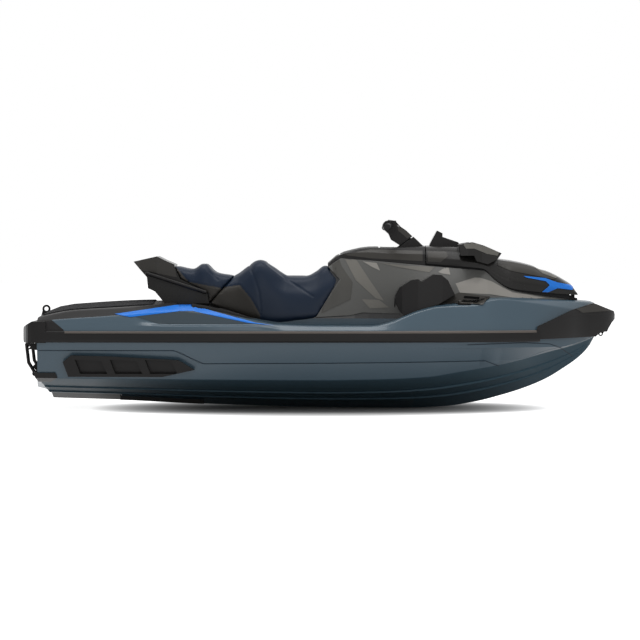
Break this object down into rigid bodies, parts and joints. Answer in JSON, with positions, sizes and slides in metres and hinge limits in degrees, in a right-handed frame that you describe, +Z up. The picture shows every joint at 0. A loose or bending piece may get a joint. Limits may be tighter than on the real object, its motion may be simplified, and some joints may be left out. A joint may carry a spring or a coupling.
{
  "type": "personal watercraft",
  "caption": "Jet-driven personal watercraft with stepped saddle seats, footwells, steered handlebar, front hood, side sponsons and a folding boarding ladder.",
  "frame": {"origin": "on the waterline amidships, on the centre plane", "axes": "+X to the bow, +Y to port, +Z up"},
  "size_m": [3.45, 1.2536, 1.098],
  "materials": {
    "hull_paint": "slate blue gel coat",
    "deck_paint": "slate blue gel coat",
    "fairing_grey": "satin grey moulded panel",
    "black_trim": "black moulded plastic",
    "gloss_black": "gloss black moulded plastic",
    "rubber_black": "soft black rubber",
    "seat_navy": "stitched navy marine vinyl",
    "mat_grey": "ribbed foam mat",
    "cast_alloy": "cast marine alloy",
    "steel": "brushed stainless steel",
    "mirror": "mirror",
    "screen": "dark display glass",
    "engine_block": "plain block"
  },
  "bodies": {
    "boat": {"hull": "hull_paint", "upper_hull": "hull_paint", "deck": "deck_paint", "gunwales": "deck_paint", "foredeck": "deck_paint", "deck_centre": "deck_paint", "footwell_tubs": "deck_paint", "bow_bumper": "black_trim", "stern_bumper": "black_trim", "side_rub_rails": "black_trim", "sponsons": "black_trim", "stern_corner_guards": "black_trim", "ride_plate": "black_trim", "intake_grate": "steel", "pump_housing": "cast_alloy", "engine": "engine_block", "seat_front": "seat_navy", "seat_rear": "seat_navy", "seat_tail": "gloss_black", "grab_rails": "black_trim", "side_panels": "fairing_grey", "console": "black_trim", "glovebox_bin": "black_trim", "front_storage_bin": "black_trim", "hood_hinge": "black_trim", "speaker_pods": "black_trim", "speaker_grilles": "black_trim", "side_vents": "black_trim", "platform_mat": "mat_grey", "footwell_mats": "mat_grey", "ladder_brackets": "black_trim", "bow_eye": "steel", "stern_eyes": "steel", "tow_eye": "steel", "drain_plugs": "black_trim"},
    "handlebar": {"steering_neck": "black_trim", "handlebar_tube": "steel", "grips": "rubber_black", "control_pods": "black_trim", "throttle_lever": "black_trim", "brake_lever": "black_trim"},
    "hood": {"hood": "gloss_black", "upper_cover": "gloss_black", "mirror_housings": "gloss_black", "mirror_glasses": "mirror", "gauge_pod": "black_trim", "gauge_screen": "screen"},
    "glovebox": {"glovebox_lid": "black_trim"},
    "nozzle": {"nozzle": "cast_alloy"},
    "gate": {"reverse_gate": "black_trim"},
    "impeller": {"impeller": "steel"},
    "ladder": {"boarding_ladder": "black_trim"}
  },
  "joints": [
    {"name": "handlebar_steer", "type": "hinge", "parent": "boat", "child": "handlebar", "pos_m": [0.5, 0, 0.716], "axis": [-0.5736, 0, 0.8192], "range_deg": [-24, 24]},
    {"name": "nozzle_steer", "type": "hinge", "parent": "boat", "child": "nozzle", "pos_m": [-1.57, 0, -0.055], "axis": [0, 0, 1], "range_deg": [-20, 20]},
    {"name": "gate_swing", "type": "hinge", "parent": "boat", "child": "gate", "pos_m": [-1.59, 0, -0.055], "axis": [0, -1, 0], "range_deg": [0, 78]},
    {"name": "impeller_spin", "type": "hinge", "parent": "boat", "child": "impeller", "pos_m": [-1.2, 0, -0.055], "axis": [1, 0, 0], "continuous": true},
    {"name": "hood_hinge", "type": "hinge", "parent": "boat", "child": "hood", "pos_m": [1.478, 0, 0.444], "axis": [0, 1, 0], "range_deg": [0, 55]},
    {"name": "glovebox_hinge", "type": "hinge", "parent": "boat", "child": "glovebox", "pos_m": [0.336, 0, 0.706], "axis": [0, 1, 0], "range_deg": [0, 45]},
    {"name": "ladder_hinge", "type": "hinge", "parent": "boat", "child": "ladder", "pos_m": [-1.65, 0, -0.018], "axis": [0, -1, 0], "range_deg": [0, 150]}
  ],
  "couplings": [
    {"joint": "nozzle_steer", "follows": "handlebar_steer", "ratio": -0.8}
  ]
}
